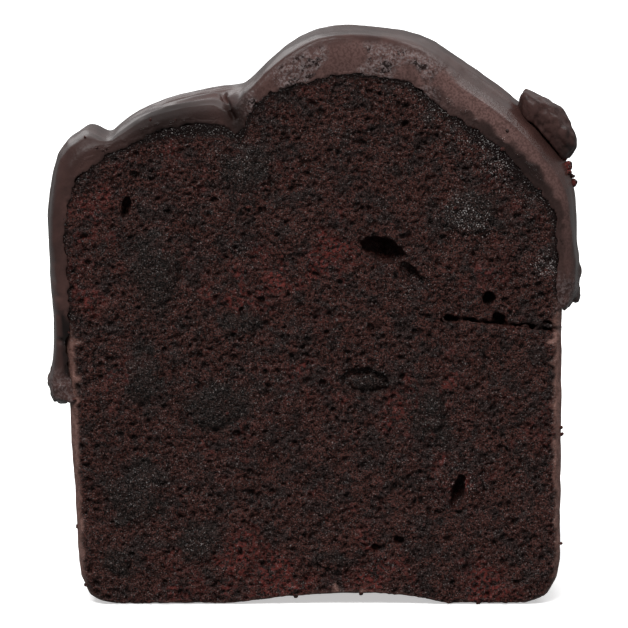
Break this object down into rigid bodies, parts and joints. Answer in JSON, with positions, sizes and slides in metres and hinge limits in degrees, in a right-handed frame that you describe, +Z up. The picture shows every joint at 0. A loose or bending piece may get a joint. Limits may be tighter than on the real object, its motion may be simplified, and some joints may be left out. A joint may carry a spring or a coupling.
{
  "type": "slice of chocolate loaf cake",
  "caption": "Upright slice of dark chocolate loaf cake with chocolate chunks in the crumb, chocolate icing over its domed top and sides, and a lump of chocolate on one shoulder.",
  "frame": {"origin": "centre of the slice's footprint, on the surface it stands on", "axes": "+Z up, +X across the slice to the right seen from the shown cut face, -Y out of the shown cut face"},
  "size_m": [0.0963, 0.0288, 0.104],
  "materials": {
    "sponge": "porous dark brown cake crumb, matt, with a lighter brown crust on the sides and base",
    "icing": "set chocolate icing, satin, grey brown",
    "chocolate": "dark chocolate, dull where it is cut"
  },
  "bodies": {
    "root": {"sponge": "sponge", "icing": "icing", "chocolate_lump": "chocolate", "chunk_front_01": "chocolate", "chunk_front_02": "chocolate", "chunk_front_03": "chocolate", "chunk_front_04": "chocolate", "chunk_front_05": "chocolate", "chunk_front_06": "chocolate", "chunk_front_07": "chocolate", "chunk_front_08": "chocolate", "chunk_front_09": "chocolate", "chunk_front_10": "chocolate", "chunk_front_11": "chocolate", "chunk_front_12": "chocolate", "chunk_back_13": "chocolate", "chunk_back_14": "chocolate", "chunk_back_15": "chocolate", "chunk_back_16": "chocolate"}
  },
  "joints": []
}
